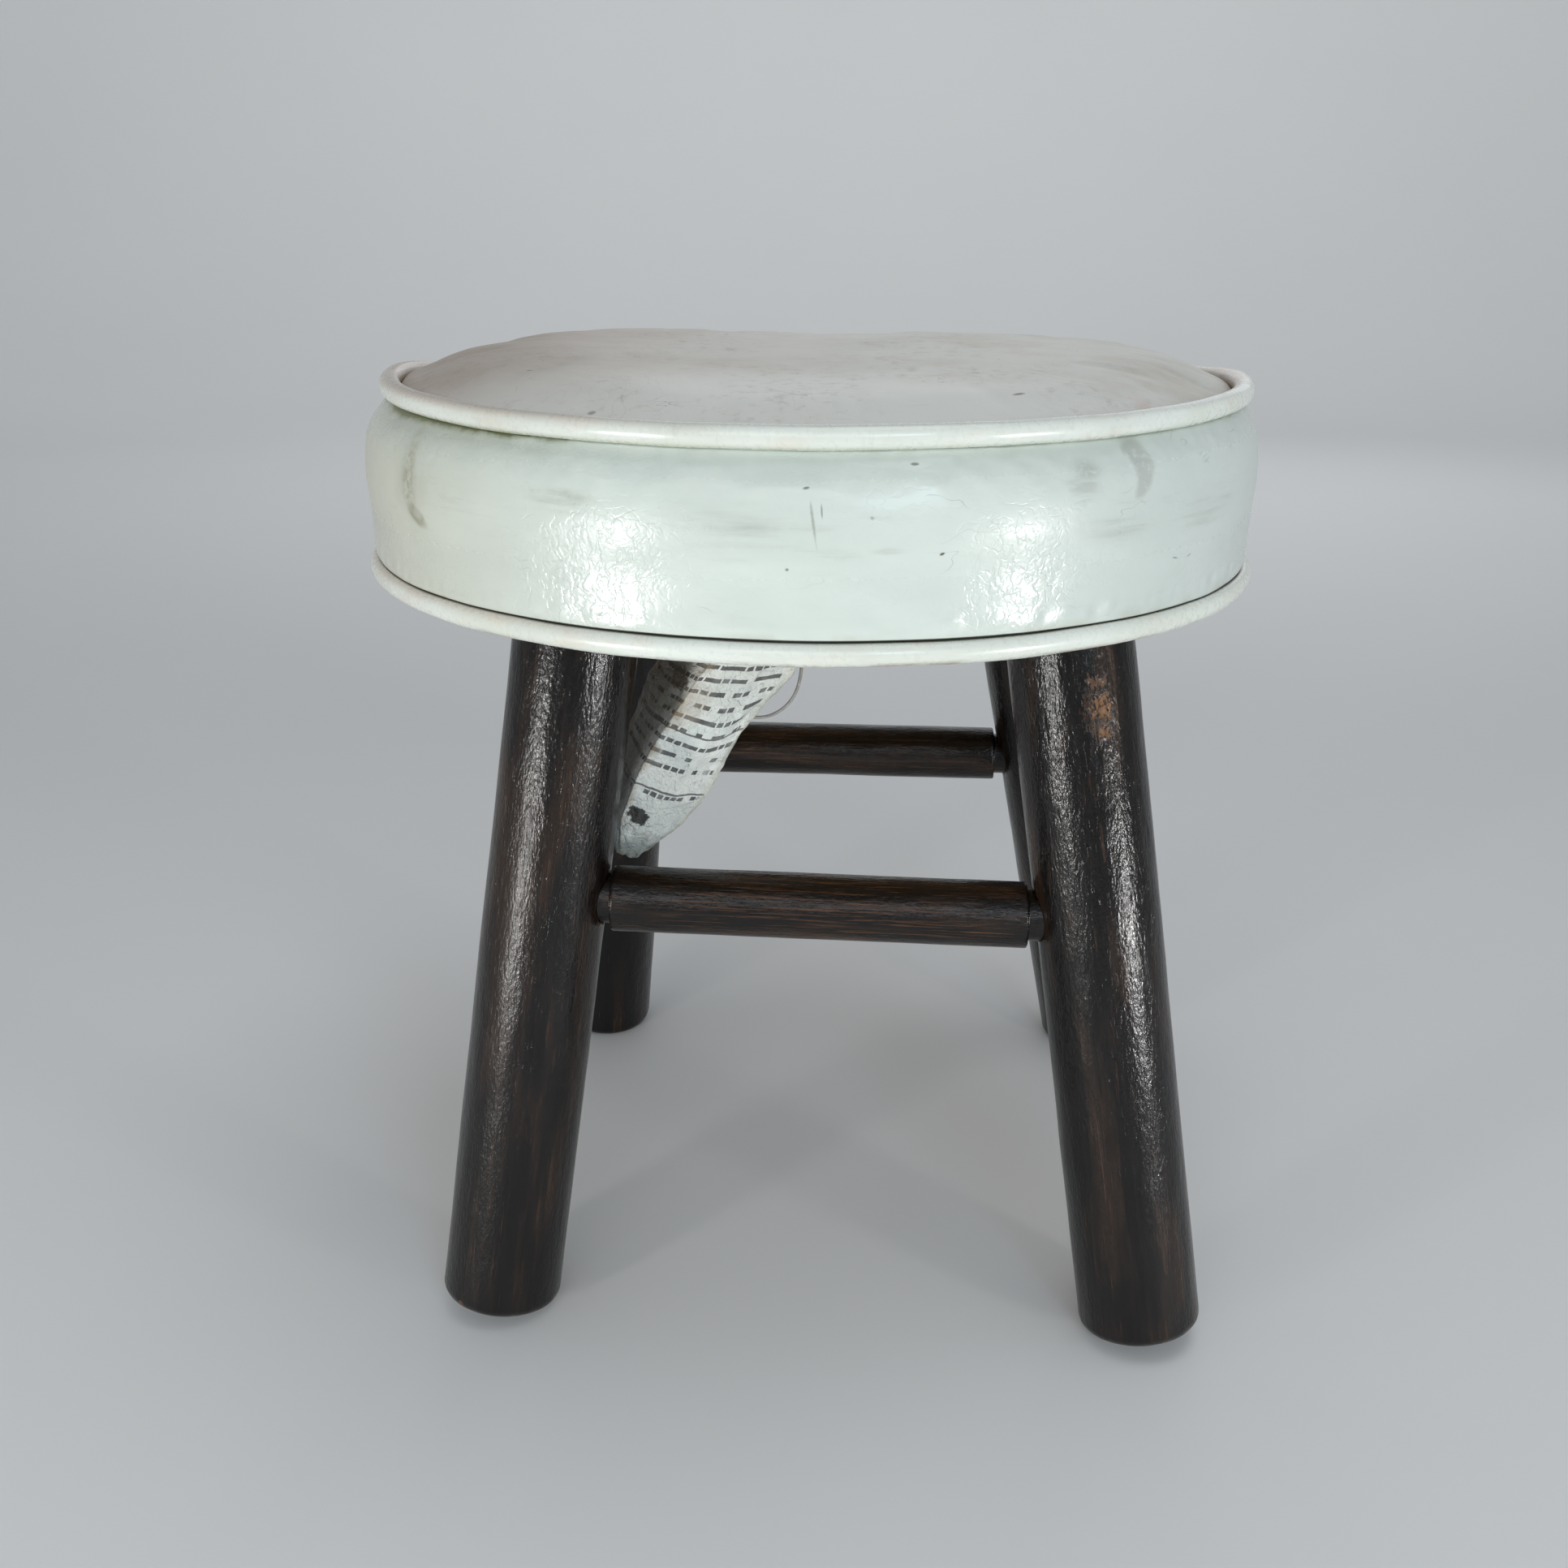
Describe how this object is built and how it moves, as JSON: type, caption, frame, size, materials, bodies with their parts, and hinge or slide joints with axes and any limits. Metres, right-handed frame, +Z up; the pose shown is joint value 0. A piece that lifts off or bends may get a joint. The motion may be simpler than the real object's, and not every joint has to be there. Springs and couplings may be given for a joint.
{
  "type": "padded stool",
  "caption": "Low round stool: crowned vinyl drum cushion with welted edges on splayed dowel legs tied by a front and a rear stretcher, with a blank folded label hanging under the board.",
  "frame": {"origin": "on the floor, under the centre of the round board", "axes": "+Z up, -Y towards the front with the label, +X to the right seen from the front"},
  "size_m": [0.3048, 0.3048, 0.3195],
  "materials": {
    "stained_wood": "near-black brown stain, satin, worn to brown along the grain",
    "board_wood": "bare sawn softwood board",
    "vinyl": "glossy off-white upholstery vinyl with a faint green tint, grimy in the seams",
    "foam": "open-cell foam",
    "welt_cord": "twisted cotton filler cord",
    "staple_steel": "dull galvanised wire",
    "label": "creased spun-bonded sheet",
    "clear_plastic": "clear flexible plastic"
  },
  "bodies": {
    "root": {"seat_board": "board_wood", "foam_pad": "foam", "cover_top_panel": "vinyl", "cover_side_band": "vinyl", "cover_bottom_hem": "vinyl", "top_welt_cord": "welt_cord", "top_welt_sleeve": "vinyl", "bottom_welt_cord": "welt_cord", "bottom_welt_sleeve": "vinyl", "hem_staples": "staple_steel", "leg_front_left": "stained_wood", "leg_front_right": "stained_wood", "leg_rear_left": "stained_wood", "leg_rear_right": "stained_wood", "leg_wedges": "board_wood", "front_stretcher": "stained_wood", "rear_stretcher": "stained_wood", "sewn_in_label": "label", "label_staples": "staple_steel", "label_tie": "clear_plastic"}
  },
  "joints": []
}
